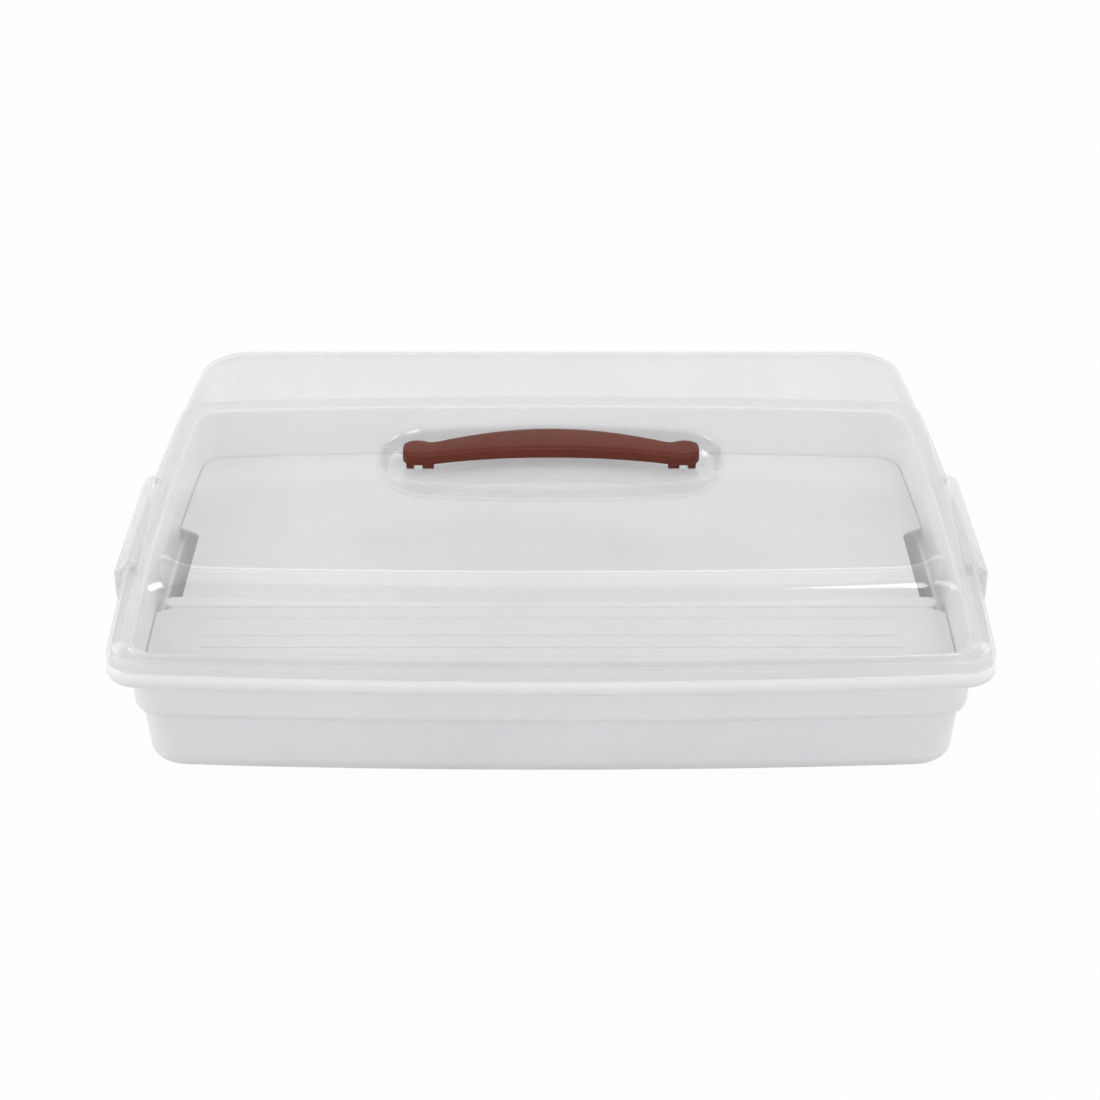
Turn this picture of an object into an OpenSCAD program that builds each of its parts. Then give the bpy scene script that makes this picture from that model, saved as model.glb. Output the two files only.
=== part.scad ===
// Cake carrier: a white base tub with a flat insert, a clear lid with a carry
// handle in its recess, and a latch on each short side that hooks under the rim.
// The origin is the centre of the flat underside, X runs along the long side.

/* [Rim] */
// Length of the rim along X
rim_w = 450; // [400:5:520]
// Depth of the rim along Y
rim_d = 300; // [270:5:360]
// Corner radius of the rim
rim_corner = 14; // [12:1:20]
// How far the long edges bow outwards
long_bow = 8.2; // [4:0.2:10]
// How far the short edges bow outwards
short_bow = 5; // [2:0.2:8]
// Height of the rolled rim bead
bead_h = 9; // [7.6:0.2:9.2]

/* [Base tub] */
// Height of the bead's upper face above the ground
base_h = 75; // [65:1:110]
// Wall thickness of the tub
base_wall = 2; // [1.6:0.1:2.6]
// Inset of the tub's upper band from the rim
band_inset = 12; // [11:0.5:13]
// Inset of the upper band at the short sides
end_band_inset = 11; // [10.6:0.1:12]
// Width of the ledge that carries the insert
ledge_w = 9.5; // [7:0.5:12]
// Width of the ledge along the short sides
end_ledge_w = 2.6; // [2.4:0.1:5]
// Height of the outside step
step_z = 39; // [30:1:46]
// Height of the rounding above the outside step
step_round = 8; // [6:0.5:10]
// Radius between the underside and the lower wall
foot_round = 12; // [8:1:20]
// Draft of the lower wall over its height
lower_draft = 1.6; // [0:0.2:4]
// How far the underside's middle panel is raised
foot_recess = 1; // [0.5:0.1:2]
// Height of the upright lip above the bead
lip_h = 4.6; // [3:0.2:4.8]

/* [Insert tray] */
// Thickness of the insert
insert_t = 1.6; // [1.2:0.1:2]
// Height of the insert, with the skirt that stands on the ledge
insert_h = 8.4; // [5:0.1:9]
// Thickness of the insert's skirt
skirt_t = 1.8; // [1.4:0.1:2.2]
// Clearance round the insert
insert_gap = 0.6; // [0.4:0.1:1.5]
// Depth of each finger notch along X
notch_depth = 11; // [8:0.5:20]
// Half length of each finger notch at its mouth
notch_half = 45; // [30:1:60]
// Distance of the cross rib in front of the middle
rib_y = 36; // [25:1:40]
// Width of the cross rib
rib_w = 9; // [6:0.5:12]
// Height of the cross rib above the insert
rib_h = 1.2; // [0.6:0.1:2]
// Distances of the moulded lines in front of the middle
line_ys = [51, 68, 79.5];

/* [Lid] */
// Height of the lid above the bead
lid_rise = 46.5; // [40:0.5:70]
// Wall thickness of the lid
lid_wall = 1.8; // [1.4:0.1:2.2]
// Height of the flange above the bead
flange_h = 7; // [6.8:0.1:9]
// Inset of the lid's wall from the rim
lid_inset = 9.2; // [8.8:0.1:9.9]
// Radius of the lid's shoulder
shoulder_r = 17; // [12:1:26]
// Corner radius of the lid at its shoulder
shoulder_corner = 20; // [14:1:26]
// How far the lid's short walls lean in
end_lean = 4; // [1:0.5:6]
// How far the short edges of the lid's top bow outwards
top_bow = 9; // [4:0.5:10]
// Gap between the lid's skirt and the bead
seat_gap = 0.3; // [0.2:0.1:0.5]

/* [Handle recess] */
// Length of the recess along X
recess_w = 182; // [176:1:210]
// Depth of the recess along Y
recess_d = 67; // [64:1:80]
// How deep the recess is sunk into the lid's top
recess_depth = 10.5; // [10.2:0.1:14]
// Corner radius of the recess
recess_corner = 22; // [16:1:24]

/* [Handle] */
// Length of the handle
handle_w = 159.4; // [150:0.2:166]
// Width of the grip at its middle
grip_w = 24.5; // [18:0.5:26]
// Width of the neck beside each end
neck_w = 16; // [13:0.5:19]
// Width of the rounded ends
end_w = 19.5; // [16:0.5:20]
// Height of the grip's moulded channel section
grip_t = 6; // [5.5:0.1:8]
// Wall thickness of the grip
grip_wall = 2; // [1.4:0.1:2.4]
// How far the grip's front edge bows behind the pivot axis
grip_bow = 8.6; // [4:0.2:9]

/* [Pivots] */
// Radius of the handle's pivot pins
pin_r = 1.5; // [1.2:0.1:1.8]
// Radial clearance of every pin in its bore
pin_gap = 0.08; // [0.04:0.01:0.1]
// Distance of each handle ear from the handle's end
ear_back = 8.5; // [8:0.1:10]
// Thickness of each handle ear
ear_t = 4; // [3:0.2:4.6]
// Side clearance between ears and cheeks
side_gap = 0.3; // [0.2:0.05:0.5]

/* [Latches] */
// Length of each latch along Y
clip_l = 100; // [70:2:120]
// Wall thickness of a latch
clip_t = 1.6; // [1.4:0.1:2]
// How far a latch hangs below its pivot
clip_drop = 18.6; // [16:0.2:22]
// How far a latch's outer face stands beyond its pivot
clip_reach = 9.5; // [9:0.1:11]
// How far the hook reaches under the bead
hook_reach = 0.9; // [0.5:0.1:1]
// Radius of the latch barrel
barrel_r = 2.3; // [2:0.1:2.4]

/* [Hidden] */
$fn = 48;

// Outline sampling: steps on each long edge, short edge and corner
long_steps = 8;
short_steps = 4;
corner_steps = 6;
arc_steps = 5;
shoulder_steps = 7;
// Share of an inset by which the recess's corner radius shrinks
corner_share = 0.35;

half_w = rim_w / 2;
half_d = rim_d / 2;
bead_z = base_h - bead_h;
lip_z = base_h + lip_h;
flange_z = base_h + flange_h;
top_z = base_h + lid_rise;
bead_r = bead_h / 2;
bead_w = 3;

// Tub profile
low_inset = band_inset + ledge_w;
foot_inset = low_inset + lower_draft + foot_round;
panel_inset = foot_inset + 4;
floor_z = foot_recess + base_wall + 0.2;
ledge_z = step_z + base_wall;
insert_z = ledge_z + seat_gap;
insert_top = insert_z + insert_h;
insert_edge = band_inset + base_wall + insert_gap;
insert_foot = low_inset - 0.6;
skirt_step = insert_foot - insert_edge;
// What the short sides stand further out than the long ones
band_step = band_inset - end_band_inset;
ledge_step = ledge_w - end_ledge_w;

// Lid profile
skirt_inset = 0.8;
skirt_z = base_h + seat_gap;
wall_draft = 1.1;
wall_z = flange_z + 1.8;
shoulder_inset = lid_inset + wall_draft;
shoulder_z = top_z - shoulder_r;
recess_z = top_z - recess_depth;
recess_edge = 1.2;
recess_foot = 6;
recess_bows = [8, 8, 2];

// Handle and its pivot
ear_x = handle_w / 2 - ear_back;
pivot_y = 1.6;
pivot_z = recess_z + 5.6;
cheek_r = 4.5;
front_gap = 0.3;
ear_r = cheek_r + front_gap - grip_wall - side_gap;
handle_top = pivot_z + 5.4;
handle_low = handle_top - grip_t;
cheek_in = ear_x - ear_t / 2 - side_gap;
cheek_out = ear_x + ear_t / 2 + side_gap;
inner_cheek_t = 6;
outer_cheek_t = 4;
grip_stations = 12;
end_steps = 5;
// Where the dog-bone ends begin and the grip's own width runs out
end_l = 9.2;
end_start = ear_x - end_l;
grip_run = ear_x - 5.2;
end_r = 7;
end_reach = end_r - 0.05;
half_handle = handle_w / 2;
end_front = pivot_y - cheek_r - front_gap;
bow_front = end_front + grip_bow;
// Where the front edge's bow ends, short of the inner cheeks' outer faces
bow_end = cheek_in - 2;
bow_power = 2.2;

// Latch pivot, beside the lid's wall
slot_x = half_w - lid_inset + 1.7;
clip_x = half_w - 4.5;
clip_z = base_h + 4;
clip_pin_r = 1.2;
boss_r = 3;
boss_l = 4;
slot_half = clip_l / 2 + 0.4;
barrel_half = slot_half - boss_l - side_gap;

// A rounded rectangle with bowed edges, drawn in by inset
function side_points(a, b, steps) = [for (i = [1:steps - 1]) a + (b - a) * i / steps];
function corner_points(c, r, from) =
    [for (i = [0:corner_steps]) c + r * [cos(from + 90 * i / corner_steps),
                                        sin(from + 90 * i / corner_steps)]];
function plain_outline(a, b, r) = concat(
    corner_points([a - r, b - r], r, 0),
    side_points([a - r, b], [r - a, b], long_steps),
    corner_points([r - a, b - r], r, 90),
    side_points([-a, b - r], [-a, r - b], short_steps),
    corner_points([r - a, r - b], r, 180),
    side_points([r - a, -b], [a - r, -b], long_steps),
    corner_points([a - r, r - b], r, 270),
    side_points([a, r - b], [a, b - r], short_steps));
// Bows are those of the front, rear and short edges
function bowed(points, a, b, bows) =
    [for (p = points) [p.x * (1 - bows[2] / a * pow(p.y / b, 2)),
                       p.y * (1 - bows[p.y > 0 ? 1 : 0] / b * pow(p.x / a, 2))]];
// step is how far the short sides stand out beyond the inset
function rim_outline(inset, step) =
    bowed(plain_outline(half_w - inset + step, half_d - inset, rim_corner),
          half_w, half_d, [long_bow, long_bow, short_bow]);
// rise runs from 0 at the flange to 1 at the shoulder
function lid_outline(inset, rise) =
    bowed(plain_outline(half_w - inset - end_lean * rise, half_d - inset,
                        rim_corner + (shoulder_corner - rim_corner) * rise),
          half_w, half_d,
          [long_bow, long_bow * (1 - rise), short_bow + (top_bow - short_bow) * rise]);
function recess_outline(inset) =
    bowed(plain_outline(recess_w / 2 - inset, recess_d / 2 - inset,
                        recess_corner - corner_share * inset),
          recess_w / 2, recess_d / 2, recess_bows);

// The short sides' step at a station that lies wall inside the tub's outer face
function tub_step(inset, wall) =
    band_step * min((inset - wall) / band_inset, 1)
    + ledge_step * min(max((inset - band_inset - wall) / (ledge_w - wall), 0), 1);
function lean_share(z) = min(max((z - wall_z) / (shoulder_z - wall_z), 0), 1);

// Rings of [x, y, z] points from profile stations of [inset, z]
function level(outline, z) = [for (p = outline) [p.x, p.y, z]];
function tub_rings(stations, wall = 0) =
    [for (s = stations) level(rim_outline(s[0], tub_step(s[0], wall)), s[1])];
function lid_rings(stations) =
    [for (s = stations) level(lid_outline(s[0], lean_share(s[1])), s[1])];
function recess_rings(stations) = [for (s = stations) level(recess_outline(s[0]), s[1])];

// A quarter arc in the profile, from angle a0 to angle a1
function arc(centre, rx, rz, a0, a1, steps) =
    [for (i = [0:steps]) let (a = a0 + (a1 - a0) * i / steps)
        [centre[0] + rx * cos(a), centre[1] + rz * sin(a)]];

// A closed skin through rings of equally many points, capped at both ends
module loft(rings) {
    n = len(rings[0]);
    last = len(rings) - 1;
    points = [for (ring = rings) each ring];
    walls = [for (j = [0:last - 1], i = [0:n - 1]) let (k = (i + 1) % n)
        each [[j * n + i, j * n + k, (j + 1) * n + i],
              [j * n + k, (j + 1) * n + k, (j + 1) * n + i]]];
    start_cap = [[for (i = [n - 1:-1:0]) i]];
    end_cap = [[for (i = [0:n - 1]) last * n + i]];
    polyhedron(points, concat(start_cap, walls, end_cap), convexity = 6);
}

// Places a latch profile on the right or, mirrored, on the left
module at_side(side) {
    if (side > 0) children();
    else mirror([1, 0, 0]) children();
}

// Base tub

function tub_outside() = concat(
    [[panel_inset, foot_recess], [panel_inset - foot_recess, 0]],
    arc([foot_inset, foot_round], foot_round, foot_round, 270, 180, arc_steps),
    arc([low_inset, step_z + step_round], ledge_w, step_round, 270, 180, arc_steps),
    [[band_inset, bead_z]]);
function tub_rim() = concat(
    arc([bead_w, bead_z + bead_r], bead_w, bead_r, 270, 90, 6),
    [[band_inset - 0.6, base_h],
     [band_inset, base_h + 0.6],
     [band_inset, lip_z - 0.5],
     [band_inset + 0.5, lip_z]]);
function tub_inside() = concat(
    [[band_inset + base_wall - 0.4, lip_z],
     [band_inset + base_wall, lip_z - 0.5]],
    arc([low_inset, step_z + step_round], ledge_w - base_wall, step_round - base_wall,
        180, 270, arc_steps),
    [[low_inset + base_wall - 0.5, ledge_z],
     [low_inset + base_wall, ledge_z - 0.8]],
    arc([foot_inset + base_wall, floor_z + foot_round], foot_round, foot_round,
        180, 270, arc_steps));

module base_tub() {
    color("whitesmoke")
        loft(concat(tub_rings(concat(tub_outside(), tub_rim())),
                    tub_rings(tub_inside(), base_wall)));
}

// Insert tray

// The skirt follows the narrower ledge of the short sides
function insert_step(inset) = band_step + (skirt_step - 0.3) * min(inset / skirt_step, 1);

// The insert's plan with its finger notches, drawn in by inset
module insert_plan(inset) {
    inner_x = half_w - insert_edge - notch_depth - inset;
    mouth = notch_half + inset;
    corner = 7;
    difference() {
        polygon(rim_outline(insert_edge + inset, insert_step(inset)));
        for (s = [-1, 1])
            polygon([[s * inner_x, corner - mouth],
                     [s * inner_x, mouth - corner],
                     [s * (inner_x + notch_depth), mouth],
                     [s * half_w, mouth],
                     [s * half_w, -mouth],
                     [s * (inner_x + notch_depth), -mouth]]);
    }
}

// The rib's rounded ends reach into the notches
module cross_rib() {
    reach = half_w - insert_edge - 3 - rib_w / 2;
    translate([0, -rib_y, insert_top - insert_t])
        linear_extrude(insert_t + rib_h) {
            square([2 * reach, rib_w], center = true);
            for (s = [-1, 1]) translate([s * reach, 0]) circle(d = rib_w);
        }
}

module insert_skirt() {
    translate([0, 0, insert_z]) linear_extrude(insert_h - insert_t / 2) difference() {
        insert_plan(skirt_step);
        insert_plan(skirt_step + skirt_t);
    }
}

module insert_tray() {
    line_w = 0.8;
    line_deep = 0.4;
    line_end = 20;
    line_l = 2 * (half_w - low_inset - line_end);
    color("white") {
        difference() {
            translate([0, 0, insert_top - insert_t])
                linear_extrude(insert_t) insert_plan(0);
            for (y = line_ys)
                translate([-line_l / 2, -y - line_w / 2, insert_top - line_deep])
                    cube([line_l, line_w, line_deep + 1]);
        }
        insert_skirt();
        cross_rib();
    }
}

// Lid

function lid_top() = concat(
    recess_rings([[recess_foot + 2, recess_z],
                  [recess_foot - 1.5, recess_z + 0.5],
                  [recess_foot - 3, recess_z + 2],
                  [0, top_z - recess_edge],
                  [-recess_edge, top_z]]),
    lid_rings(arc([shoulder_inset + shoulder_r, shoulder_z], shoulder_r, shoulder_r,
                  90, 180, shoulder_steps)));
function lid_flange() = lid_rings(
    [[lid_inset, wall_z],
     [lid_inset - 0.6, flange_z + 0.5],
     [lid_inset - 1.9, flange_z],
     [skirt_inset + 2.4, flange_z],
     [skirt_inset + 0.7, flange_z - 0.7],
     [skirt_inset, flange_z - 2.4],
     [skirt_inset, skirt_z],
     [skirt_inset + lid_wall, skirt_z],
     [skirt_inset + lid_wall, flange_z - lid_wall],
     [lid_inset + lid_wall, flange_z - lid_wall]]);
function lid_under() = concat(
    lid_rings(arc([shoulder_inset + shoulder_r, shoulder_z], shoulder_r - lid_wall,
                  shoulder_r - lid_wall, 180, 90, shoulder_steps)),
    recess_rings([[-recess_edge - lid_wall, top_z - lid_wall],
                  [-lid_wall, top_z - lid_wall - recess_edge],
                  [recess_foot - 3 - lid_wall, recess_z + 2 - lid_wall],
                  [recess_foot - lid_wall, recess_z - lid_wall]]));

module latch_slot() {
    translate([slot_x, -slot_half, skirt_z - 1])
        cube([half_w, 2 * slot_half, flange_h + 3]);
}

// Closes the channel behind the slot and carries the latch's two bosses
module latch_mount() {
    web_x = slot_x - lid_wall;
    translate([web_x, -slot_half, skirt_z])
        cube([lid_wall, 2 * slot_half, flange_z - skirt_z]);
    for (s = [-1, 1])
        translate([0, s * (slot_half - boss_l / 2), 0]) {
            translate([clip_x, boss_l / 2, clip_z]) rotate([90, 0, 0])
                cylinder(r = boss_r, h = boss_l);
            translate([web_x, -boss_l / 2, clip_z - boss_r])
                cube([clip_x - web_x, boss_l, 2 * boss_r]);
        }
}

module latch_bores() {
    translate([clip_x, slot_half + 1, clip_z]) rotate([90, 0, 0])
        cylinder(r = clip_pin_r + pin_gap, h = 2 * slot_half + 2);
}

// An ear's stem stands behind the pivot, so that the grip's edge can swing under it
module handle_ear(x) {
    stem_y = pivot_y + 0.9;
    translate([x - ear_t / 2, 0, 0]) {
        difference() {
            union() {
                translate([0, pivot_y, pivot_z]) rotate([0, 90, 0])
                    cylinder(r = ear_r, h = ear_t);
                translate([0, stem_y, recess_z - 1])
                    cube([ear_t, 5, pivot_z - recess_z + 1]);
            }
            translate([-1, pivot_y, pivot_z]) rotate([0, 90, 0])
                cylinder(r = pin_r + pin_gap, h = ear_t + 2);
        }
    }
}

// The small moulded ring in the floor of the recess
module gate_ring() {
    translate([0, 0, recess_z - 0.3])
        rotate_extrude()
            translate([2.2, 0]) square([1, 0.8]);
}

module lid() {
    color("gainsboro", 0.5) {
        difference() {
            union() {
                difference() {
                    loft(concat(lid_top(), lid_flange(), lid_under()));
                    for (s = [-1, 1]) at_side(s) latch_slot();
                }
                for (s = [-1, 1]) at_side(s) latch_mount();
            }
            for (s = [-1, 1]) at_side(s) latch_bores();
        }
        for (s = [-1, 1]) handle_ear(s * ear_x);
        gate_ring();
    }
}

// Handle

// Smooth step from 0 to 1
function ease(t) = let (u = min(max(t, 0), 1)) u * u * (3 - 2 * u);
// Share of the dog-bone end, 0 on the grip and 1 at the pivot
function end_share(x) = ease((abs(x) - end_start) / (ear_x - end_start));
function grip_width(x) =
    neck_w + (grip_w - neck_w) * pow(cos(90 * min(abs(x) / grip_run, 1)), 1.1)
    + (end_w - neck_w) * end_share(x);
function end_round(x) = let (u = max(abs(x) - (half_handle - end_r), 0))
    end_r - sqrt(max(end_r * end_r - u * u, 0));
function grip_edge(x) = bow_front - grip_bow * pow(min(abs(x) / bow_end, 1), bow_power);
function grip_front(x) = grip_edge(x) + end_round(x);
function grip_back(x) = grip_edge(x) + grip_width(x) - end_round(x);

// Top edge of a section: a groove behind the rounded front edge, then a low crown
function section_top(f, b) = let (w = b - f) [
    [f, handle_top - 1.6], [f + 0.5, handle_top - 0.7], [f + 1.4, handle_top - 0.6],
    [f + 2.2, handle_top - 1.1], [f + 3, handle_top - 0.5],
    [f + 0.35 * w, handle_top], [f + 0.65 * w, handle_top],
    [b - 2, handle_top - 0.2], [b - 0.6, handle_top - 0.7], [b, handle_top - 1.8]];
// Section of the hollow under the grip, open below
function channel_section(x) =
    let (f = grip_front(x) + grip_wall, b = grip_back(x) - grip_wall, z = handle_top - grip_wall)
    [[x, f, z - 0.6], [x, b, z - 0.6], [x, b, handle_low - 1], [x, f, handle_low - 1]];
function solid_section(x) = let (f = grip_front(x), b = grip_back(x))
    [for (p = concat(section_top(f, b), [[b, handle_low], [f, handle_low]])) [x, p.x, p.y]];

// Stations along the grip, closer together round each end
function grip_xs() = let (straight = half_handle - end_r)
    concat([for (i = [end_steps:-1:1]) -straight - end_reach * sin(90 * i / end_steps)],
           [for (i = [-grip_stations:grip_stations]) straight * i / grip_stations],
           [for (i = [1:end_steps]) straight + end_reach * sin(90 * i / end_steps)]);

module grip_body() {
    difference() {
        loft([for (x = grip_xs()) solid_section(x)]);
        loft([for (i = [-grip_stations:grip_stations])
            channel_section(i / grip_stations * cheek_out)]);
    }
}

module cheek(x, t) {
    translate([x, pivot_y, pivot_z]) rotate([0, 90, 0]) cylinder(r = cheek_r, h = t);
    translate([x, pivot_y - cheek_r, pivot_z])
        cube([t, 2 * cheek_r, handle_top - 1.5 - pivot_z]);
}

module handle() {
    color("#6f443a") {
        grip_body();
        for (s = [-1, 1]) at_side(s) {
            cheek(cheek_in - inner_cheek_t, inner_cheek_t);
            cheek(cheek_out + 0.1, outer_cheek_t);
            translate([cheek_in - 1, pivot_y, pivot_z]) rotate([0, 90, 0])
                cylinder(r = pin_r, h = cheek_out - cheek_in + 2);
        }
    }
}

// Latches

panel_x = clip_reach;
root_x = barrel_r + 1.1;
root_z = barrel_r + 0.25;
hook_x = half_w - hook_reach - clip_x;
hook_top = clip_z - bead_z + 0.6;

// Section of a latch round its pivot: a top plate, an outer panel and the hook
module clip_plate() {
    polygon([[root_x, root_z], [panel_x - 1.3, 0.2], [panel_x - 0.4, -0.7], [panel_x, -2],
             [panel_x, 0.6 - clip_drop], [panel_x - 0.6, -clip_drop],
             [panel_x - clip_t, -clip_drop],
             [panel_x - clip_t, -2.2], [panel_x - 2.1, -1.4], [root_x, root_z - clip_t]]);
}
module clip_root() {
    polygon([[0, barrel_r], [root_x - 0.9, root_z + 0.15], [root_x + 0.2, root_z - 0.1],
             [root_x + 0.2, root_z - 0.1 - clip_t], [1, 0]]);
}
module clip_hook() {
    polygon([[panel_x - 0.5, -hook_top], [hook_x + 0.3, -hook_top], [hook_x, -hook_top - 0.5],
             [hook_x + 0.5, -hook_top - 1.2], [panel_x - 0.5, -hook_top - 4]]);
}

module along_y(half) {
    translate([0, half, 0]) rotate([90, 0, 0]) linear_extrude(2 * half) children();
}

module clip_body() {
    hook_half = barrel_half - 4;
    translate([clip_x, 0, clip_z]) {
        along_y(clip_l / 2) clip_plate();
        along_y(barrel_half) clip_root();
        along_y(barrel_half) circle(r = barrel_r);
        along_y(barrel_half + boss_l - 0.6) circle(r = clip_pin_r);
        along_y(hook_half) clip_hook();
    }
}

module clip_right() {
    color("gainsboro", 0.5) clip_body();
}

module clip_left() {
    color("gainsboro", 0.5) mirror([1, 0, 0]) clip_body();
}

base_tub();
insert_tray();
lid();
handle();
clip_left();
clip_right();
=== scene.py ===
import math

import bmesh
import bpy
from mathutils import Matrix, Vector


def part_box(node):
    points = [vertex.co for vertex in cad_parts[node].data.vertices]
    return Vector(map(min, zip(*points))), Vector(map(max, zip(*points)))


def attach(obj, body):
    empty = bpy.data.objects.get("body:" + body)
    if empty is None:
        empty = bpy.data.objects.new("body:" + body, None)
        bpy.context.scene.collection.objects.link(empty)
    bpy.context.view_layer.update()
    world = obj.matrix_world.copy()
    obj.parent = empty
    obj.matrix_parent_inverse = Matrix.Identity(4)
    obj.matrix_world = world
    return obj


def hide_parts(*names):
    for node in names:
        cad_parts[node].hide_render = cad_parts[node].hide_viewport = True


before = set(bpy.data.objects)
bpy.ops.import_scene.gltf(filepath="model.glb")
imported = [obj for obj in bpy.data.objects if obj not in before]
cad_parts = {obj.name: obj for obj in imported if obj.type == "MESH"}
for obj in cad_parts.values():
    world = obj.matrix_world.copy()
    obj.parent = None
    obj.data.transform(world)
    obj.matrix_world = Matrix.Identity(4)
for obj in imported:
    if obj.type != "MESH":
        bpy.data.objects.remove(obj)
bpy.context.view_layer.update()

MM = 0.001

# Driving sizes in millimetres, read from the frame where it holds them
HALF_W, HALF_D, LIP_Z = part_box("base_tub")[1] / MM
TOP_Z = (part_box("lid")[1] / MM).z
LONG_BOW = 8.2
SHORT_BOW = 5.0
RIM_CORNER = 14.0
CORNER_SHARE = 0.35
LIP_H = 4.6
BASE_H = LIP_Z - LIP_H
BEAD_H = 9.0
BEAD_W = 3.0
BEAD_Z = BASE_H - BEAD_H
BASE_WALL = 2.0
BAND_INSET = 12.0
LEDGE_W = 9.5
BAND_STEP = 1.0
END_LEDGE_W = 2.6
LEDGE_STEP = LEDGE_W - END_LEDGE_W
LOW_INSET = BAND_INSET + LEDGE_W
STEP_Z = 39.0
STEP_ROUND = 8.0
FOOT_ROUND = 12.0
LOWER_DRAFT = 1.6
FOOT_INSET = LOW_INSET + LOWER_DRAFT + FOOT_ROUND
FOOT_RECESS = 1.0
FLOOR_Z = FOOT_RECESS + BASE_WALL + 0.2
LEDGE_Z = STEP_Z + BASE_WALL
INSERT_Z = LEDGE_Z + 0.3
INSERT_H = 8.4
INSERT_TOP = INSERT_Z + INSERT_H
INSERT_T = 1.6
INSERT_GAP = 0.6
INSERT_EDGE = BAND_INSET + BASE_WALL + INSERT_GAP
INSERT_FOOT = LOW_INSET - INSERT_GAP
SKIRT_T = 1.8
SKIRT_STEP = INSERT_FOOT - INSERT_EDGE
NOTCH_DEPTH = 11.0
NOTCH_HALF = 45.0
NOTCH_CORNER = 7.0
RIB_Y = 36.0
RIB_W = 9.0
RIB_H = 1.2
LINE_YS = (51.0, 68.0, 79.5)
LINE_W = 0.8
LINE_DEEP = 0.4
LINE_END = 20.0
LID_WALL = 1.8
LID_INSET = 9.2
SHOULDER_R = 17.0
SHOULDER_INSET = LID_INSET + 1.1
SHOULDER_Z = TOP_Z - SHOULDER_R
FLANGE_Z = BASE_H + 7.0
WALL_Z = FLANGE_Z + 1.8
SHOULDER_CORNER = 20.0
END_LEAN = 4.0
TOP_BOW = 9.0
SKIRT_INSET = 0.8
SKIRT_Z = BASE_H + 0.3
RECESS_W = 182.0
RECESS_D = 67.0
RECESS_CORNER = 22.0
RECESS_BOWS = (8.0, 8.0, 2.0)
RECESS_DEPTH = 10.5
RECESS_Z = TOP_Z - RECESS_DEPTH
RECESS_EDGE = 1.2
RECESS_FOOT = 6.0
PIVOT_Y = 1.6
PIVOT_Z = RECESS_Z + 5.6
EAR_X = 71.2
EAR_T = 4.0
EAR_R = 2.5
SIDE_GAP = 0.3
PIN_R = 1.5
PIN_GAP = 0.08
CHEEK_R = 4.5
HALF_HANDLE = 79.7
HANDLE_TOP = PIVOT_Z + 5.4
HANDLE_BOTTOM = HANDLE_TOP - 6.0
CLIP_X = HALF_W - 4.5
CLIP_Z = BASE_H + 4.0
CLIP_HALF = 50.0
CLIP_DROP = 18.6
CLIP_T = 1.6
SLOT_X = HALF_W - LID_INSET + 1.7
SLOT_HALF = CLIP_HALF + 0.4
BOSS_L = 4.0
BARREL_R = 2.3
BARREL_HALF = SLOT_HALF - BOSS_L - SIDE_GAP
CLIP_PIN_R = 1.2

LONG_STEPS = 44
SHORT_STEPS = 28
CORNER_STEPS = 14
SHARP_ANGLE = 32


# ---------------------------------------------------------------- outlines

def corner_points(x, y, r, start):
    return arc((x, y), (r, r), start, start + 90, CORNER_STEPS)


def side_points(a, b, steps):
    return [(a[0] + (b[0] - a[0]) * i / steps, a[1] + (b[1] - a[1]) * i / steps)
            for i in range(1, steps)]


def plain_outline(a, b, r):
    return (corner_points(a - r, b - r, r, 0)
            + side_points((a - r, b), (r - a, b), LONG_STEPS)
            + corner_points(r - a, b - r, r, 90)
            + side_points((-a, b - r), (-a, r - b), SHORT_STEPS)
            + corner_points(r - a, r - b, r, 180)
            + side_points((r - a, -b), (a - r, -b), LONG_STEPS)
            + corner_points(a - r, r - b, r, 270)
            + side_points((a, r - b), (a, b - r), SHORT_STEPS))


def bowed(points, a, b, bows):
    """Bows are those of the front, rear and short edges."""
    return [(x * (1 - bows[2] / a * (y / b) ** 2),
             y * (1 - bows[1 if y > 0 else 0] / b * (x / a) ** 2)) for x, y in points]


def rim_outline(inset, step):
    """The rim's outline, where step is how far the short sides stand out beyond the inset."""
    return bowed(plain_outline(HALF_W - inset + step, HALF_D - inset, RIM_CORNER),
                 HALF_W, HALF_D, (LONG_BOW, LONG_BOW, SHORT_BOW))


def lid_outline(inset, rise):
    """The lid's outline, where rise runs from 0 at the flange to 1 at the shoulder."""
    corner = RIM_CORNER + (SHOULDER_CORNER - RIM_CORNER) * rise
    return bowed(plain_outline(HALF_W - inset - END_LEAN * rise, HALF_D - inset, corner),
                 HALF_W, HALF_D,
                 (LONG_BOW, LONG_BOW * (1 - rise), SHORT_BOW + (TOP_BOW - SHORT_BOW) * rise))


def recess_outline(inset):
    a, b = RECESS_W / 2, RECESS_D / 2
    return bowed(plain_outline(a - inset, b - inset, RECESS_CORNER - CORNER_SHARE * inset),
                 a, b, RECESS_BOWS)


def tub_step(inset, wall):
    """The short sides' step at a station that lies wall inside the tub's outer face."""
    ledge = (inset - BAND_INSET - wall) / (LEDGE_W - wall)
    return BAND_STEP * min((inset - wall) / BAND_INSET, 1) + LEDGE_STEP * min(max(ledge, 0), 1)


def lean_share(z):
    return min(max((z - WALL_Z) / (SHOULDER_Z - WALL_Z), 0), 1)


def ring(outline, z):
    return [(x, y, z) for x, y in outline]


def arc(centre, reach, start, stop, steps):
    """Points of a quarter arc, where reach is (across, up)."""
    points = []
    for i in range(steps + 1):
        angle = math.radians(start + (stop - start) * i / steps)
        points.append((centre[0] + reach[0] * math.cos(angle),
                       centre[1] + reach[1] * math.sin(angle)))
    return points


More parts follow.
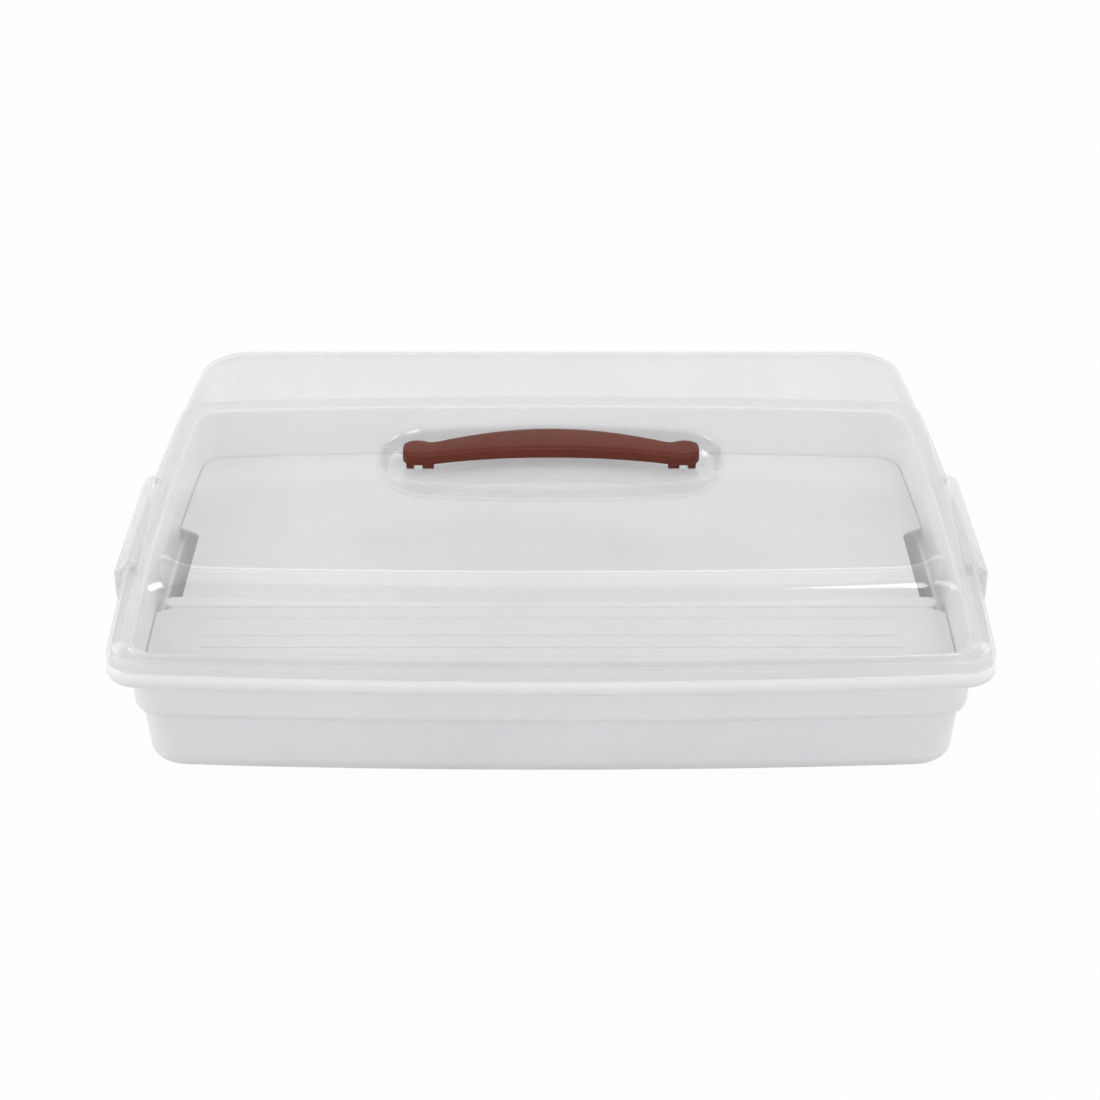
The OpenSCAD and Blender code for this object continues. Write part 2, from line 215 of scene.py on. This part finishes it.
def soften(profile, radius, steps=4, closed=False, least=20):
    """Rounds each corner that turns more than least degrees."""
    out = []
    count = len(profile)
    for i, point in enumerate(profile):
        if not closed and i in (0, count - 1):
            out.append(point)
            continue
        p = Vector(point)
        before = Vector(profile[i - 1]) - p
        after = Vector(profile[(i + 1) % count]) - p
        turn = math.pi - before.angle(after)
        if math.degrees(turn) < least:
            out.append(point)
            continue
        reach = min(radius * math.tan(turn / 2), 0.45 * before.length, 0.45 * after.length)
        a = p + before.normalized() * reach
        b = p + after.normalized() * reach
        for j in range(steps + 1):
            t = j / steps
            out.append(tuple((1 - t) ** 2 * a + 2 * t * (1 - t) * p + t ** 2 * b))
    return out


# ---------------------------------------------------------------- meshes

def new_object(name, shape):
    mesh = bpy.data.meshes.new(name)
    bmesh.ops.recalc_face_normals(shape, faces=shape.faces)
    shape.to_mesh(mesh)
    shape.free()
    obj = bpy.data.objects.new(name, mesh)
    bpy.context.scene.collection.objects.link(obj)
    return obj


def loft(name, rings):
    """A closed skin through rings in millimetres, capped at both ends."""
    shape = bmesh.new()
    rows = [[shape.verts.new(Vector(p) * MM) for p in points] for points in rings]
    n = len(rows[0])
    for low, high in zip(rows, rows[1:]):
        for i in range(n):
            shape.faces.new((low[i], low[(i + 1) % n], high[(i + 1) % n], high[i]))
    shape.faces.new(rows[0][::-1])
    shape.faces.new(rows[-1])
    return new_object(name, shape)


def inset_loop(points, reach):
    """A flat loop moved inwards by reach, along its mitres."""
    count = len(points)
    area = sum(p[0] * q[1] - q[0] * p[1] for p, q in zip(points, points[1:] + points[:1]))
    turn = 1 if area > 0 else -1
    out = []
    for i, point in enumerate(points):
        p = Vector(point)
        before = (p - Vector(points[i - 1])).normalized()
        after = (Vector(points[(i + 1) % count]) - p).normalized()
        inward = Vector((-before.y - after.y, before.x + after.x)) * turn
        out.append(tuple(p + inward * reach / max(1 + before.dot(after), 0.3)))
    return out


def prism(name, points, place, low, high, bevel=0.0):
    """Points (u, v) of a section, put at place(u, v, w) from w = low to w = high."""
    levels = [(0, low), (0, high)]
    if bevel:
        ease_in = [(bevel * (1 - math.sin(a)), bevel * (1 - math.cos(a)))
                   for a in (0, math.pi / 6, math.pi / 3, math.pi / 2)]
        levels = ([(i, low + w) for i, w in ease_in]
                  + [(i, high - w) for i, w in reversed(ease_in)])
    return loft(name, [[place(u, v, w) for u, v in (inset_loop(points, i) if i else points)]
                       for i, w in levels])


def along_x(u, v, w):
    return (w, u, v)


def along_z(u, v, w):
    return (u, v, w)


def circle(x, y, r, steps=40):
    return [(x + r * math.cos(math.tau * i / steps), y + r * math.sin(math.tau * i / steps))
            for i in range(steps)]


def block(low, high, bevel=0.0):
    (x0, y0, z0), (x1, y1, z1) = low, high
    return prism("block", [(x0, y0), (x1, y0), (x1, y1), (x0, y1)], along_z, z0, z1, bevel)


def combine(obj, other, operation):
    """Joins or cuts obj with other, which is then removed."""
    step = obj.modifiers.new("step", "BOOLEAN")
    step.operation = operation
    step.solver = "EXACT"
    step.object = other
    graph = bpy.context.evaluated_depsgraph_get()
    mesh = bpy.data.meshes.new_from_object(obj.evaluated_get(graph))
    obj.modifiers.remove(step)
    old = obj.data
    obj.data = mesh
    bpy.data.meshes.remove(old)
    bpy.data.objects.remove(other)
    return obj


def finish_piece(obj, node, body, material):
    obj.data.name = obj.name
    obj.data.materials.clear()
    obj.data.materials.append(material)
    obj.data.shade_smooth()
    obj.data.set_sharp_from_angle(angle=math.radians(SHARP_ANGLE))
    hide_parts(node)
    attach(obj, body)
    return obj


# ---------------------------------------------------------------- materials

# The part of a noise's range that its values keep to
NOISE_LOW, NOISE_HIGH = 0.3, 0.7


class Surface:
    """A moulded plastic: a Principled shader with fine texture in its colour and relief."""

    def __init__(self, name, colour, roughness):
        self.material = bpy.data.materials.new(name)
        self.material.use_nodes = True
        tree = self.material.node_tree
        self.nodes, self.links = tree.nodes, tree.links
        self.shader = self.nodes["Principled BSDF"]
        self.shader.inputs["Base Color"].default_value = (*colour, 1)
        self.shader.inputs["Roughness"].default_value = roughness
        self.place = self.nodes.new("ShaderNodeTexCoord").outputs["Object"]

    def noise(self, scale, detail):
        node = self.nodes.new("ShaderNodeTexNoise")
        node.inputs["Scale"].default_value = scale
        node.inputs["Detail"].default_value = detail
        self.links.new(self.place, node.inputs["Vector"])
        return node.outputs["Fac"]

    def spread(self, value, low, high):
        node = self.nodes.new("ShaderNodeMapRange")
        node.inputs["From Min"].default_value = NOISE_LOW
        node.inputs["From Max"].default_value = NOISE_HIGH
        node.inputs["To Min"].default_value = low
        node.inputs["To Max"].default_value = high
        self.links.new(value, node.inputs["Value"])
        return node.outputs["Result"]

    def tint(self, value, low, high):
        node = self.nodes.new("ShaderNodeValToRGB")
        node.color_ramp.elements[0].position = NOISE_LOW
        node.color_ramp.elements[0].color = (*low, 1)
        node.color_ramp.elements[1].position = NOISE_HIGH
        node.color_ramp.elements[1].color = (*high, 1)
        self.links.new(value, node.inputs["Fac"])
        self.links.new(node.outputs["Color"], self.shader.inputs["Base Color"])

    def maths(self, operation, *values):
        node = self.nodes.new("ShaderNodeMath")
        node.operation = operation
        for socket, value in zip(node.inputs, values):
            if isinstance(value, bpy.types.NodeSocket):
                self.links.new(value, socket)
            else:
                socket.default_value = value
        return node.outputs[0]

    def relief(self, heights):
        """heights: (value, strength, distance in metres), one bump on top of another."""
        last = None
        for value, strength, distance in heights:
            node = self.nodes.new("ShaderNodeBump")
            node.inputs["Strength"].default_value = strength
            node.inputs["Distance"].default_value = distance
            self.links.new(value, node.inputs["Height"])
            if last:
                self.links.new(last, node.inputs["Normal"])
            last = node.outputs["Normal"]
        self.links.new(last, self.shader.inputs["Normal"])

    def set(self, socket, value):
        if isinstance(value, bpy.types.NodeSocket):
            self.links.new(value, self.shader.inputs[socket])
        else:
            self.shader.inputs[socket].default_value = value


def white_plastic(name, low, high, roughness):
    surface = Surface(name, high, roughness)
    surface.tint(surface.noise(14, 3), low, high)
    surface.set("Roughness", surface.spread(surface.noise(60, 3), roughness - 0.06,
                                            roughness + 0.08))
    surface.relief([(surface.noise(1400, 2), 0.06, 0.0002), (surface.noise(22, 2), 0.15, 0.0006)])
    surface.set("Subsurface Weight", 0.08)
    surface.set("Subsurface Scale", 0.004)
    return surface.material


def clear_plastic(name, colour, alpha, roughness, waves):
    """Frosted clear plastic, which looks denser and glossier at a grazing angle."""
    surface = Surface(name, colour, roughness)
    surface.set("IOR", 2.9)
    edge = surface.nodes.new("ShaderNodeLayerWeight")
    edge.inputs["Blend"].default_value = 0.5
    dense = surface.maths("POWER", edge.outputs["Facing"], 3)
    base = surface.spread(surface.noise(18, 3), alpha - 0.015, alpha + 0.015)
    haze = surface.maths("MULTIPLY_ADD", dense, 0.5, base)
    # It scatters light forwards, so more light gets through it than it looks
    shadow = surface.nodes.new("ShaderNodeLightPath").outputs["Is Shadow Ray"]
    lit = surface.maths("MULTIPLY_ADD", shadow, -0.8, 1)
    surface.set("Alpha", surface.maths("MULTIPLY", haze, lit))
    surface.tint(surface.noise(25, 3), [0.94 * c for c in colour], colour)
    surface.set("Roughness", surface.spread(surface.noise(80, 3), roughness, roughness + 0.02))
    surface.relief([(surface.noise(7, 1), waves, 0.0005)])
    return surface.material


def brown_plastic():
    surface = Surface("brown_plastic", (0.128, 0.031, 0.019), 0.42)
    surface.set("Specular IOR Level", 0.12)
    surface.tint(surface.noise(40, 3), (0.121, 0.029, 0.018), (0.135, 0.033, 0.020))
    surface.set("Roughness", surface.spread(surface.noise(300, 3), 0.38, 0.5))
    surface.relief([(surface.noise(2600, 2), 0.25, 0.00015), (surface.noise(60, 2), 0.15, 0.0004)])
    return surface.material


# ---------------------------------------------------------------- base tub

def tub_profile():
    outside = ([(FOOT_INSET + 8, FOOT_RECESS), (FOOT_INSET + 4, FOOT_RECESS),
                (FOOT_INSET + 3, 0)]
               + arc((FOOT_INSET, FOOT_ROUND), (FOOT_ROUND, FOOT_ROUND), 270, 180, 12)
               + arc((LOW_INSET, STEP_Z + STEP_ROUND), (LEDGE_W, STEP_ROUND), 270, 180, 12)
               + [(BAND_INSET, BEAD_Z)])
    bead = (arc((BEAD_W, BEAD_Z + BEAD_H / 2), (BEAD_W, BEAD_H / 2), 270, 90, 20)
            + [(BAND_INSET - 0.6, BASE_H), (BAND_INSET, BASE_H + 0.6),
               (BAND_INSET, LIP_Z - 0.5), (BAND_INSET + 0.5, LIP_Z),
               (BAND_INSET + BASE_WALL - 0.4, LIP_Z), (BAND_INSET + BASE_WALL, LIP_Z - 0.5)])
    inside = (arc((LOW_INSET, STEP_Z + STEP_ROUND),
                  (LEDGE_W - BASE_WALL, STEP_ROUND - BASE_WALL), 180, 270, 10)
              + [(LOW_INSET + BASE_WALL - 0.5, LEDGE_Z), (LOW_INSET + BASE_WALL, LEDGE_Z - 0.8)]
              + arc((FOOT_INSET + BASE_WALL, FLOOR_Z + FOOT_ROUND), (FOOT_ROUND, FOOT_ROUND),
                    180, 270, 10)
              + [(FOOT_INSET + BASE_WALL + 6, FLOOR_Z)])
    return soften(outside + bead + inside, 0.5)


def base_tub(material):
    rings = []
    wall = 0
    for i, z in tub_profile():
        if z > LIP_Z - 0.8 and i > BAND_INSET + BASE_WALL / 2:
            wall = BASE_WALL
        rings.append(ring(rim_outline(i, tub_step(i, wall)), z))
    obj = loft("tub_moulding", rings)
    return finish_piece(obj, "base_tub", "base", material)


# ---------------------------------------------------------------- insert

def insert_plan(inset):
    """The insert's outline with its two notches cut in."""
    step = BAND_STEP + (SKIRT_STEP - 0.3) * min(inset / SKIRT_STEP, 1)
    outline = rim_outline(INSERT_EDGE + inset, step)
    mouth = NOTCH_HALF + inset
    inner = HALF_W - INSERT_EDGE - NOTCH_DEPTH - inset
    edge = (inner + NOTCH_DEPTH + step) * (1 - SHORT_BOW / HALF_W * (mouth / HALF_D) ** 2)
    points = []
    done = set()
    for x, y in outline:
        if abs(y) < mouth and abs(x) > inner:
            side = 1 if x > 0 else -1
            if side not in done:
                done.add(side)
                notch = [(edge, -mouth), (inner + NOTCH_DEPTH, -mouth),
                         (inner, NOTCH_CORNER - mouth), (inner, mouth - NOTCH_CORNER),
                         (inner + NOTCH_DEPTH, mouth), (edge, mouth)]
                points.extend(soften([(side * x, side * y) for x, y in notch], 6, 8))
            continue
        points.append((x, y))
    return points


def insert_tray(material):
    low = INSERT_TOP - INSERT_T
    plate = prism("insert_moulding", insert_plan(0), along_z, low, INSERT_TOP, 0.35)
    reach = HALF_W - LOW_INSET - LINE_END
    for y in LINE_YS:
        combine(plate, block((-reach, -y - LINE_W / 2, INSERT_TOP - LINE_DEEP),
                             (reach, -y + LINE_W / 2, INSERT_TOP + 1)), "DIFFERENCE")
    skirt = prism("skirt", insert_plan(SKIRT_STEP), along_z, INSERT_Z, INSERT_TOP - INSERT_T / 2)
    combine(skirt, prism("hollow", insert_plan(SKIRT_STEP + SKIRT_T), along_z,
                         INSERT_Z - 1, INSERT_TOP), "DIFFERENCE")
    combine(plate, skirt, "UNION")
    reach = HALF_W - INSERT_EDGE - 3 - RIB_W / 2
    half = RIB_W / 2
    rib = (arc((reach, -RIB_Y), (half, half), -90, 90, 18)
           + arc((-reach, -RIB_Y), (-half, half), 90, -90, 18))
    combine(plate, prism("rib", rib, along_z, low + 0.4, INSERT_TOP + RIB_H, 0.5), "UNION")
    return finish_piece(plate, "insert_tray", "insert", material)


# ---------------------------------------------------------------- lid

def lid_rings():
    recess_top = soften([(RECESS_FOOT + 8, RECESS_Z), (RECESS_FOOT - 2.4, RECESS_Z),
                         (RECESS_FOOT - 4, RECESS_Z + 2.6), (0, TOP_Z - RECESS_EDGE),
                         (-RECESS_EDGE, TOP_Z), (-RECESS_EDGE - 3, TOP_Z)], 1.6, 6, least=8)
    rings = [ring(recess_outline(i), z) for i, z in recess_top]
    shell = ([(SHOULDER_INSET + SHOULDER_R + 3, TOP_Z)]
             + arc((SHOULDER_INSET + SHOULDER_R, SHOULDER_Z), (SHOULDER_R, SHOULDER_R),
                   90, 180, 18)
             + arc((LID_INSET - 1.9, FLANGE_Z + 1.9), (1.9, 1.9), 0, -90, 6)
             + [(SKIRT_INSET + 2.4, FLANGE_Z), (SKIRT_INSET + 0.7, FLANGE_Z - 0.7),
                (SKIRT_INSET, FLANGE_Z - 2.4), (SKIRT_INSET, SKIRT_Z),
                (SKIRT_INSET + LID_WALL, SKIRT_Z), (SKIRT_INSET + LID_WALL, FLANGE_Z - LID_WALL),
                (LID_INSET + LID_WALL, FLANGE_Z - LID_WALL)]
             + arc((SHOULDER_INSET + SHOULDER_R, SHOULDER_Z),
                   (SHOULDER_R - LID_WALL, SHOULDER_R - LID_WALL), 180, 90, 18)
             + [(SHOULDER_INSET + SHOULDER_R + 3, TOP_Z - LID_WALL)])
    rings += [ring(lid_outline(i, lean_share(z)), z) for i, z in soften(shell, 0.5)]
    recess_under = soften([(-RECESS_EDGE - LID_WALL - 1.5, TOP_Z - LID_WALL),
                           (-RECESS_EDGE - LID_WALL, TOP_Z - LID_WALL),
                           (-LID_WALL, TOP_Z - LID_WALL - RECESS_EDGE),
                           (RECESS_FOOT - 4 - LID_WALL, RECESS_Z + 2.6 - LID_WALL),
                           (RECESS_FOOT - 2.4 - LID_WALL, RECESS_Z - LID_WALL),
                           (RECESS_FOOT + 4, RECESS_Z - LID_WALL)], 1.2, 5, least=8)
    return rings + [ring(recess_outline(i), z) for i, z in recess_under]


def handle_ear(x):
    stem_y = PIVOT_Y + 0.9
    meet = math.degrees(math.acos((stem_y - PIVOT_Y) / EAR_R))
    sweep = range(-int(meet), -360 + 40, -8)
    section = ([(PIVOT_Y + EAR_R * math.cos(math.radians(a)),
                 PIVOT_Z + EAR_R * math.sin(math.radians(a))) for a in sweep]
               + [(stem_y + 5, PIVOT_Z - 2.4), (stem_y + 5, RECESS_Z - 1), (stem_y, RECESS_Z - 1)])
    ear = prism("ear", section, along_x, x - EAR_T / 2, x + EAR_T / 2, 0.35)
    bore = prism("bore", circle(PIVOT_Y, PIVOT_Z, PIN_R + PIN_GAP), along_x,
                 x - EAR_T, x + EAR_T)
    return combine(ear, bore, "DIFFERENCE")


def turned(profile, name):
    """A ring of revolution about Z through the origin, from (radius, z) points."""
    steps = 48
    shape = bmesh.new()
    rows = [[shape.verts.new(Vector((r * math.cos(math.tau * i / steps),
                                     r * math.sin(math.tau * i / steps), z)) * MM)
             for r, z in profile] for i in range(steps)]
    for i in range(steps):
        a, b = rows[i], rows[(i + 1) % steps]
        for j in range(len(profile)):
            k = (j + 1) % len(profile)
            shape.faces.new((a[j], a[k], b[k], b[j]))
    return new_object(name, shape)


def side_prism(name, section, side, low, high, bevel=0.0):
    """A section (beyond the latch's pivot, above it), run along Y on one side."""
    return prism(name, section, lambda u, v, w: (side * (CLIP_X + u), w, CLIP_Z + v),
                 low, high, bevel)


def lid(material):
    shell = loft("lid_moulding", lid_rings())
    for side in (-1, 1):
        inner, outer = SLOT_X, HALF_W * 2
        combine(shell, block((min(side * inner, side * outer), -SLOT_HALF, SKIRT_Z - 1),
                             (max(side * inner, side * outer), SLOT_HALF, FLANGE_Z + 2)),
                "DIFFERENCE")
        web = SLOT_X - LID_WALL - CLIP_X
        low, high = SKIRT_Z - CLIP_Z, FLANGE_Z - CLIP_Z - 0.2
        combine(shell, side_prism("web", [(web, low), (web + LID_WALL, low),
                                          (web + LID_WALL, high), (web, high)],
                                  side, -SLOT_HALF - 0.3, SLOT_HALF + 0.3), "UNION")
        for end in (-1, 1):
            low, high = sorted((end * SLOT_HALF, end * (SLOT_HALF - BOSS_L)))
            boss = ([(web + 0.4, -3), *arc((0, 0), (3, 3), -90, 90, 16), (web + 0.4, 3)])
            combine(shell, side_prism("boss", boss, side, low, high, 0.3), "UNION")
            combine(shell, side_prism("bore", circle(0, 0, CLIP_PIN_R + PIN_GAP, 32), side,
                                      low - 1, high + 1), "DIFFERENCE")
    for x in (-EAR_X, EAR_X):
        combine(shell, handle_ear(x), "UNION")
    gate = [(2.2, RECESS_Z - 0.3), (3.2, RECESS_Z - 0.3), (3.2, RECESS_Z + 0.35),
            (3.0, RECESS_Z + 0.5), (2.4, RECESS_Z + 0.5), (2.2, RECESS_Z + 0.35)]
    combine(shell, turned(gate, "gate"), "UNION")
    return finish_piece(shell, "lid", "lid", material)


# ---------------------------------------------------------------- handle

def ease(t):
    t = min(max(t, 0), 1)
    return t * t * (3 - 2 * t)


END_R = 7.0
END_FRONT = PIVOT_Y - CHEEK_R - 0.3
GRIP_BOW = 8.6
BOW_END = EAR_X - EAR_T / 2 - SIDE_GAP - 2


def end_round(x):
    u = max(abs(x) - (HALF_HANDLE - END_R), 0)
    return END_R - math.sqrt(max(END_R ** 2 - u * u, 0))


def grip_width(x):
    run = math.cos(math.radians(90 * min(abs(x) / (EAR_X - 5.2), 1)))
    return 16 + 8.5 * max(run, 0) ** 1.1 + 3.5 * ease((abs(x) - EAR_X + 9.2) / 9.2)


def grip_front(x):
    return END_FRONT + GRIP_BOW * (1 - min(abs(x) / BOW_END, 1) ** 2.2) + end_round(x)


def grip_back(x):
    return grip_front(x) - 2 * end_round(x) + grip_width(x)


def grip_section(x):
    f, b = grip_front(x), grip_back(x)
    w = b - f
    z = HANDLE_TOP - (1.2 - math.sqrt(max(1.44 - max(abs(x) - HALF_HANDLE + 1.2, 0) ** 2, 0)))
    crown = [(f + w * t, z - 0.45 * (2 * t - 1.05) ** 2)
             for t in (0.22, 0.32, 0.42, 0.52, 0.62, 0.72, 0.82)]
    top = ([(f, z - 2.6), (f, z - 1.5), (f + 0.12, z - 1.0), (f + 0.4, z - 0.68),
            (f + 0.8, z - 0.55), (f + 1.2, z - 0.62), (f + 1.6, z - 0.95),
            (f + 1.95, z - 1.12), (f + 2.3, z - 0.95),
            (f + 2.7, z - 0.55), (f + 3.2, z - 0.36)]
           + crown + [(b - 1.6, z - 0.3), (b - 0.9, z - 0.55), (b - 0.35, z - 0.95),
                      (b - 0.08, z - 1.5), (b, z - 2.2)])
    return [(x, u, v) for u, v in top + [(b, HANDLE_BOTTOM + 0.3), (b - 0.3, HANDLE_BOTTOM),
                                         (f + 0.3, HANDLE_BOTTOM), (f, HANDLE_BOTTOM + 0.3)]]


def handle(material):
    straight = HALF_HANDLE - END_R
    tip = [straight + END_R * 0.995 * math.sin(math.radians(90 * i / 14)) for i in range(1, 15)]
    middle = [straight * i / 48 for i in range(-48, 49)]
    stations = [-x for x in reversed(tip)] + middle + tip
    grip = loft("handle_moulding", [grip_section(x) for x in stations])
    span = EAR_X + EAR_T / 2 + SIDE_GAP
    hollow = []
    for i in range(-40, 41):
        x = span * i / 40
        f, b = grip_front(x) + 2, grip_back(x) - 2
        z = HANDLE_TOP - 2.6
        hollow.append([(x, f, HANDLE_BOTTOM - 1), (x, f, z - 0.5), (x, f + 0.5, z),
                       (x, b - 0.5, z), (x, b, z - 0.5), (x, b, HANDLE_BOTTOM - 1)])
    combine(grip, loft("hollow", hollow), "DIFFERENCE")
    inner = EAR_X - EAR_T / 2 - SIDE_GAP
    for side in (-1, 1):
        for near, thick in ((inner - 6, 6), (span + 0.1, 4)):
            section = (arc((PIVOT_Y, PIVOT_Z), (CHEEK_R, CHEEK_R), 180, 360, 28)
                       + [(PIVOT_Y + CHEEK_R, HANDLE_TOP - 1.5),
                          (PIVOT_Y - CHEEK_R, HANDLE_TOP - 1.5)])
            low, high = sorted((side * near, side * (near + thick)))
            combine(grip, prism("cheek", section, along_x, low, high, 0.3), "UNION")
        low, high = sorted((side * (inner - 1), side * (span + 1)))
        combine(grip, prism("pin", circle(PIVOT_Y, PIVOT_Z, PIN_R, 32), along_x, low, high),
                "UNION")
    return finish_piece(grip, "handle", "handle", material)


# ---------------------------------------------------------------- latches

PANEL = 9.5
ROOT_X = BARREL_R + 1.1
ROOT_Z = BARREL_R + 0.25
HOOK_X = HALF_W - 0.9 - CLIP_X
HOOK_TOP = CLIP_Z - BEAD_Z + 0.6


def clip(side, material):
    plate = soften([(ROOT_X, ROOT_Z), (PANEL - 1.3, 0.2), (PANEL - 0.4, -0.7), (PANEL, -2),
                    (PANEL, 0.6 - CLIP_DROP), (PANEL - 0.6, -CLIP_DROP),
                    (PANEL - CLIP_T, -CLIP_DROP), (PANEL - CLIP_T, -2.2),
                    (PANEL - 2.1, -1.4), (ROOT_X, ROOT_Z - CLIP_T)], 0.8, 5, closed=True)
    root = [(0, BARREL_R), (ROOT_X - 0.9, ROOT_Z + 0.15), (ROOT_X + 0.2, ROOT_Z - 0.1),
            (ROOT_X + 0.2, ROOT_Z - 0.1 - CLIP_T), (1, 0)]
    hook = soften([(PANEL - 0.5, -HOOK_TOP), (HOOK_X + 0.3, -HOOK_TOP), (HOOK_X, -HOOK_TOP - 0.5),
                   (HOOK_X + 0.5, -HOOK_TOP - 1.2), (PANEL - 0.5, -HOOK_TOP - 4)], 0.25, 3,
                  closed=True)
    name = "latch_moulding_right" if side > 0 else "latch_moulding_left"
    body = side_prism(name, plate, side, -CLIP_HALF, CLIP_HALF, 0.45)
    for part in (side_prism("root", root, side, -BARREL_HALF, BARREL_HALF),
                 side_prism("barrel", circle(0, 0, BARREL_R), side, -BARREL_HALF, BARREL_HALF),
                 side_prism("pin", circle(0, 0, CLIP_PIN_R, 32), side,
                            0.6 - BARREL_HALF - BOSS_L, BARREL_HALF + BOSS_L - 0.6),
                 side_prism("hook", hook, side, 4 - BARREL_HALF, BARREL_HALF - 4)):
        combine(body, part, "UNION")
    return finish_piece(body, "clip_right" if side > 0 else "clip_left",
                        "latch_right" if side > 0 else "latch_left", material)


# ---------------------------------------------------------------- stage

BACKDROP_TOP = 28.7
BACKDROP = 1.25
STUDIO = 0.5


def seen_share(nodes, links, most):
    """most for camera, glossy and transmission rays, 0 for the rays that carry light."""
    path = nodes.new("ShaderNodeLightPath")
    share = path.outputs["Is Camera Ray"]
    for ray in ("Is Glossy Ray", "Is Transmission Ray"):
        either = nodes.new("ShaderNodeMath")
        either.operation = "MAXIMUM"
        links.new(share, either.inputs[0])
        links.new(path.outputs[ray], either.inputs[1])
        share = either.outputs[0]
    scaled = nodes.new("ShaderNodeMath")
    scaled.operation = "MULTIPLY"
    scaled.inputs[1].default_value = most
    links.new(share, scaled.inputs[0])
    return scaled.outputs[0]


def world_light():
    """A lit backdrop up to BACKDROP_TOP degrees, and a darker studio above it."""
    world = bpy.data.worlds.new("studio")
    bpy.context.scene.world = world
    world.use_nodes = True
    nodes, links = world.node_tree.nodes, world.node_tree.links
    background = nodes["Background"]
    background.inputs["Color"].default_value = (1, 1, 1, 1)
    direction = nodes.new("ShaderNodeTexCoord").outputs["Generated"]
    split = nodes.new("ShaderNodeSeparateXYZ")
    links.new(direction, split.inputs[0])
    fall = nodes.new("ShaderNodeMapRange")
    fall.inputs["From Min"].default_value = math.sin(math.radians(BACKDROP_TOP - 0.15))
    fall.inputs["From Max"].default_value = math.sin(math.radians(BACKDROP_TOP + 0.15))
    fall.inputs["To Max"].default_value = STUDIO
    links.new(split.outputs["Z"], fall.inputs["Value"])
    level = nodes.new("ShaderNodeMath")
    level.operation = "SUBTRACT"
    level.inputs[0].default_value = BACKDROP
    links.new(seen_share(nodes, links, BACKDROP - 1), level.inputs[1])
    links.new(level.outputs[0], fall.inputs["To Min"])
    links.new(fall.outputs["Result"], background.inputs["Strength"])


def area_light(name, place, target, size, watts):
    data = bpy.data.lights.new(name, "AREA")
    data.shape = "RECTANGLE"
    data.size, data.size_y = size
    data.energy = watts
    lamp = bpy.data.objects.new(name, data)
    lamp.location = place
    lamp.rotation_euler = (Vector(target) - Vector(place)).to_track_quat("-Z", "Y").to_euler()
    bpy.context.scene.collection.objects.link(lamp)


def camera():
    """The photograph's viewing angle, fitted to the rim, the recess and the base."""
    eye_height = 671.8 * MM
    eye_back = 1027.8 * MM
    pitch_down = math.radians(30.7)
    focal_px, frame_px = 2175.3, 1100
    centre_x_px = 551.0
    data = bpy.data.cameras.new("camera")
    data.sensor_width = 36
    data.lens = focal_px / frame_px * data.sensor_width
    data.shift_x = (frame_px / 2 - centre_x_px) / frame_px
    eye = bpy.data.objects.new("camera", data)
    eye.location = (0, -eye_back, eye_height)
    eye.rotation_euler = (math.radians(90) - pitch_down, 0, 0)
    bpy.context.scene.collection.objects.link(eye)
    bpy.context.scene.camera = eye


def floor():
    """A white sweep that the camera sees almost as bright as the backdrop."""
    mesh = bpy.data.meshes.new("floor")
    side = 6.0
    corners = [(-side, -side, 0), (side, -side, 0), (side, side, 0), (-side, side, 0)]
    mesh.from_pydata(corners, [], [(0, 1, 2, 3)])
    obj = bpy.data.objects.new("floor", mesh)
    obj.location.z = -0.0005
    bpy.context.scene.collection.objects.link(obj)
    mat = bpy.data.materials.new("floor")
    mat.use_nodes = True
    nodes, links = mat.node_tree.nodes, mat.node_tree.links
    shader = nodes["Principled BSDF"]
    shader.inputs["Base Color"].default_value = (0.60, 0.60, 0.60, 1)
    shader.inputs["Roughness"].default_value = 0.9
    glow = nodes.new("ShaderNodeEmission")
    glow.inputs["Strength"].default_value = 1.0
    mix = nodes.new("ShaderNodeMixShader")
    links.new(seen_share(nodes, links, 0.97), mix.inputs["Fac"])
    links.new(shader.outputs[0], mix.inputs[1])
    links.new(glow.outputs[0], mix.inputs[2])
    links.new(mix.outputs[0], nodes["Material Output"].inputs["Surface"])
    mesh.materials.append(mat)


bpy.context.scene.view_settings.view_transform = "Standard"
camera()
floor()
world_light()
# Each lamp has a name, place, target, size in metres and watts
for lamp in (
        ("top_box", (0, 0.7, 1.5), (0, 0.7, 0), (2.6, 1.8), 8),
        ("front_box", (-0.5, -1.6, 1.0), (0, 0, 0.05), (2.4, 1.6), 2.2),
        ("rear_strip", (0, 1.9, 1.45), (0, -0.12, 0.11), (2.6, 0.10), 1.4),
        ("left_strip", (-1.5, -0.05, 0.98), (-0.19, -0.12, 0.11), (0.42, 0.8), 5.5),
        ("right_strip", (1.5, 0.10, 0.98), (0.19, -0.12, 0.11), (0.32, 1.3), 3),
        ("right_spark", (0.62, -0.5, 1.45), (0.16, -0.13, 0.12), (0.52, 0.36), 3)):
    area_light(*lamp)

base_tub(white_plastic("white_plastic", (0.81, 0.815, 0.83), (0.84, 0.845, 0.86), 0.36))
insert_tray(white_plastic("white_insert", (0.85, 0.85, 0.86), (0.88, 0.88, 0.89), 0.45))
lid(clear_plastic("clear_plastic", (0.70, 0.70, 0.705), 0.24, 0.03, 0.004))
handle(brown_plastic())
clip_material = clear_plastic("clear_clip", (0.76, 0.76, 0.77), 0.28, 0.08, 0.002)
clip(-1, clip_material)
clip(1, clip_material)
